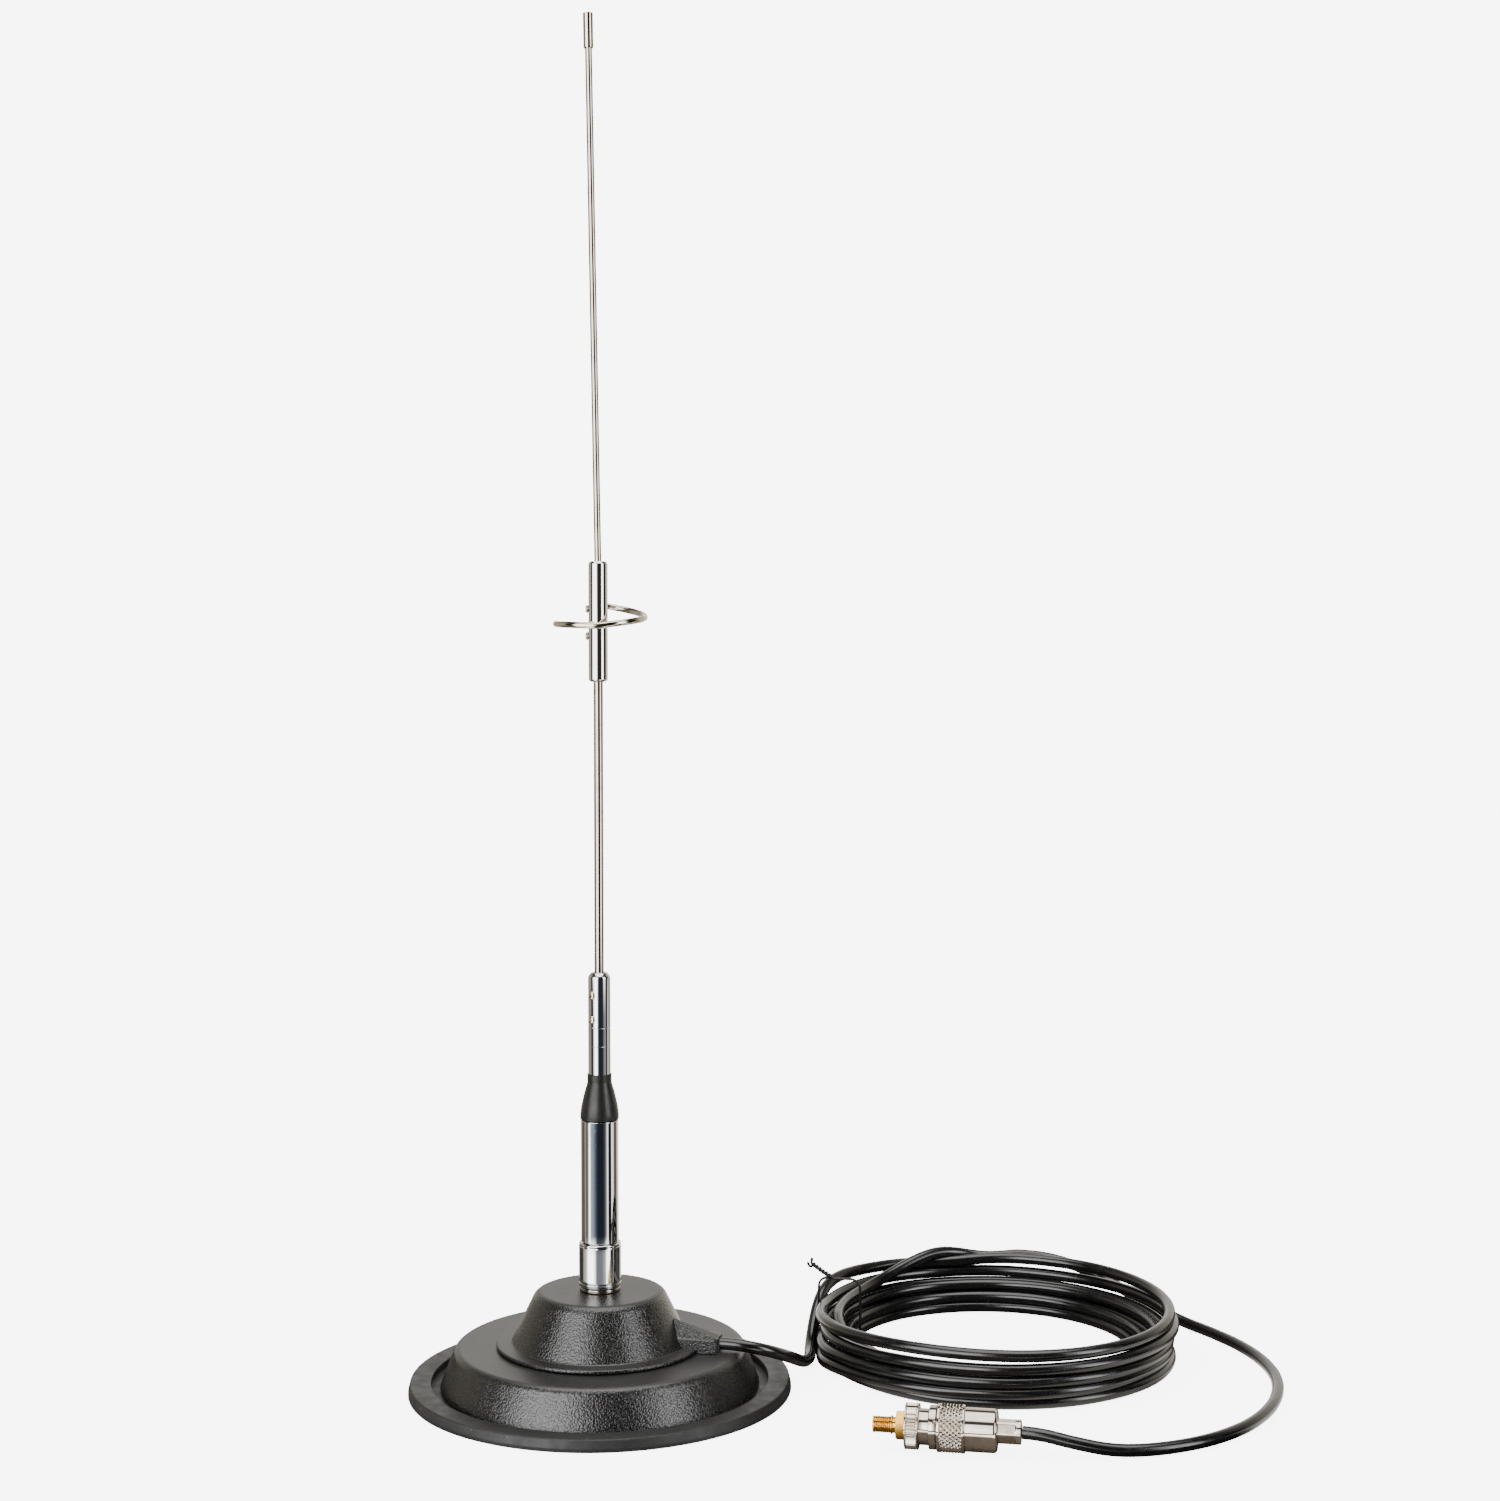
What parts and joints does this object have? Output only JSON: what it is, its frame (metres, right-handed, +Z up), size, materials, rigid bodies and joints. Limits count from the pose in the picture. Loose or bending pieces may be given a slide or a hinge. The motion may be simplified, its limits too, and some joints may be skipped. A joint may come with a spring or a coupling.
{
  "type": "magnetic-mount whip antenna",
  "caption": "Omnidirectional whip antenna with an open phasing ring on a round magnetic base, with a coaxial cable, threaded plug and adapter.",
  "frame": {"origin": "centre of the underside of the magnetic base", "axes": "+Z up along the whip, +X towards the cable outlet and the coiled cable, +Y away from the front"},
  "size_m": [0.3627, 0.2138, 0.562],
  "materials": {
    "rim_rubber": "matte",
    "pad_plastic": "matte",
    "ferrite": "matte",
    "zinc_steel": "satin",
    "coated_metal": "satin",
    "nickel_plate": "polished",
    "tinned_brass": "satin",
    "ptfe": "satin",
    "gold_plate": "polished",
    "chrome_plate": "polished",
    "copper_wire": "satin",
    "boot_plastic": "satin",
    "brass_screw": "polished",
    "rod_steel": "polished",
    "cable_jacket": "gloss",
    "tie_plastic": "satin"
  },
  "bodies": {
    "magnetic_base": {"rubber_rim": "rim_rubber", "bottom_pad": "pad_plastic", "ring_magnet": "ferrite", "yoke_plate": "zinc_steel", "lower_cover": "coated_metal", "upper_cover": "coated_metal", "cover_screw_1": "zinc_steel", "cover_screw_2": "zinc_steel", "cover_screw_3": "zinc_steel", "socket_shell": "nickel_plate", "ground_lug": "tinned_brass", "socket_nut": "nickel_plate", "socket_insulator": "ptfe", "socket_contact": "gold_plate", "cable_clamp": "zinc_steel", "inner_cable": "cable_jacket", "cable_lead": "cable_jacket", "cable_coil": "cable_jacket", "cable_tail": "cable_jacket", "twist_tie": "tie_plastic", "crimp_ferrule": "nickel_plate", "plug_body": "nickel_plate", "plug_insulator": "ptfe", "plug_pin": "gold_plate"},
    "antenna": {"antenna_plug_body": "nickel_plate", "antenna_plug_insulator": "ptfe", "antenna_plug_pin": "gold_plate", "main_tube": "chrome_plate", "coil_former": "ptfe", "matching_coil": "copper_wire", "boot": "boot_plastic", "whip_ferrule": "chrome_plate", "ferrule_grub_screw_1": "brass_screw", "ferrule_grub_screw_2": "brass_screw"},
    "collar": {"coupling_collar": "chrome_plate"},
    "lower_whip": {"lower_rod": "rod_steel", "middle_coupling": "chrome_plate", "phasing_ring": "chrome_plate", "coupling_grub_screw_1": "nickel_plate", "coupling_grub_screw_2": "nickel_plate"},
    "upper_whip": {"upper_rod": "rod_steel", "tip_cap": "nickel_plate"},
    "sleeve": {"plug_sleeve": "nickel_plate"},
    "adapter": {"adapter_shell": "nickel_plate", "adapter_insulator": "ptfe", "adapter_contact": "gold_plate", "sma_shell": "gold_plate", "sma_insulator": "ptfe"}
  },
  "joints": [
    {"name": "antenna_lift", "type": "slide", "parent": "magnetic_base", "child": "antenna", "axis": [0, 0, 1], "range_m": [0, 0.0096]},
    {"name": "collar_turn", "type": "hinge", "parent": "antenna", "child": "collar", "pos_m": [0, 0, 0.052], "axis": [0, 0, 1], "range_deg": [0, 2880]},
    {"name": "lower_whip_trim", "type": "slide", "parent": "antenna", "child": "lower_whip", "axis": [0, 0, 1], "range_m": [-0.008, 0.01]},
    {"name": "upper_whip_trim", "type": "slide", "parent": "lower_whip", "child": "upper_whip", "axis": [-0.0154, 0, 0.9999], "range_m": [-0.002, 0.004]},
    {"name": "adapter_draw", "type": "slide", "parent": "magnetic_base", "child": "adapter", "axis": [-0.9848, 0.1736, 0], "range_m": [0, 0.0096]},
    {"name": "sleeve_turn", "type": "hinge", "parent": "magnetic_base", "child": "sleeve", "pos_m": [0.1453, -0.07853, 0.00925], "axis": [0.9848, -0.1736, 0], "range_deg": [0, 2880]}
  ],
  "couplings": [
    {"joint": "antenna_lift", "follows": "collar_turn", "m_per_rad": 0.00016843},
    {"joint": "adapter_draw", "follows": "sleeve_turn", "m_per_rad": 0.00016843}
  ]
}
